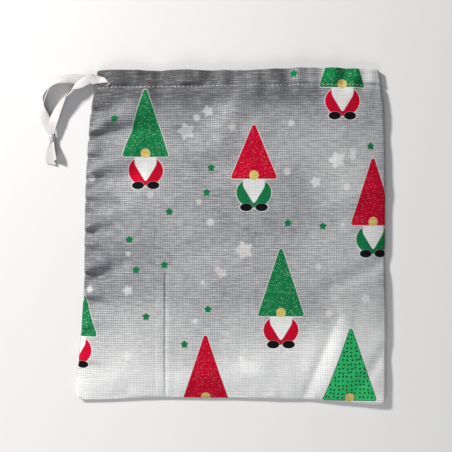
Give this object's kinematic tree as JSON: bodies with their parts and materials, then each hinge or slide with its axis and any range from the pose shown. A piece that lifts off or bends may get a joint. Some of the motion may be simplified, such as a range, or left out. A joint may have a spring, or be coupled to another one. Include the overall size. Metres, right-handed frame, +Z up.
{
  "type": "drawstring gift pouch",
  "caption": "Small printed cotton gift pouch lying flat and empty, with a stitched casing round its mouth and a satin ribbon drawn out at one side and knotted.",
  "frame": {"origin": "on the table under the centre of the pouch's own outline, ribbon loop left out", "axes": "+X across the pouch towards its folded side, +Y towards the mouth, +Z up from the table"},
  "size_m": [0.2096, 0.204, 0.0109],
  "materials": {
    "printed_cotton": "matt plain weave with a two-colour print",
    "cotton_reverse": "matt plain weave, unprinted side",
    "sewing_thread": "soft thread",
    "satin_ribbon": "satin sheen"
  },
  "bodies": {
    "pouch": {"back_panel": "printed_cotton", "back_lining": "cotton_reverse", "back_mouth_edge": "printed_cotton", "back_hem": "cotton_reverse", "back_casing_stitching": "sewing_thread", "side_seam": "cotton_reverse", "side_stitching": "sewing_thread", "bottom_seam": "cotton_reverse", "bottom_stitching": "sewing_thread", "front_panel": "printed_cotton", "front_lining": "cotton_reverse", "front_mouth_edge": "printed_cotton", "front_hem": "cotton_reverse", "front_casing_stitching": "sewing_thread", "thread_tail": "sewing_thread"},
    "folded_side": {"side_fold": "printed_cotton", "ribbon_turn": "satin_ribbon"},
    "drawstring": {"ribbon_back_run": "satin_ribbon", "ribbon_front_run": "satin_ribbon", "ribbon_back_leg": "satin_ribbon", "ribbon_front_leg": "satin_ribbon", "ribbon_knot": "satin_ribbon", "ribbon_tails": "satin_ribbon"}
  },
  "joints": [
    {"name": "drawstring_pull", "type": "slide", "parent": "pouch", "child": "drawstring", "axis": [-1, 0, 0], "range_m": [0, 0.045], "deforming": ["ribbon_back_run", "ribbon_front_run"]},
    {"name": "mouth_gather", "type": "hinge", "parent": "pouch", "child": "folded_side", "pos_m": [0.0915, -0.1, 0.002], "axis": [0, 0, 1], "range_deg": [0, 13.1], "deforming": ["back_lining", "back_mouth_edge", "back_hem", "back_casing_stitching", "front_lining", "front_mouth_edge", "front_hem"]}
  ],
  "couplings": [
    {"joint": "mouth_gather", "follows": "drawstring_pull", "rad_per_m": 5.08}
  ]
}
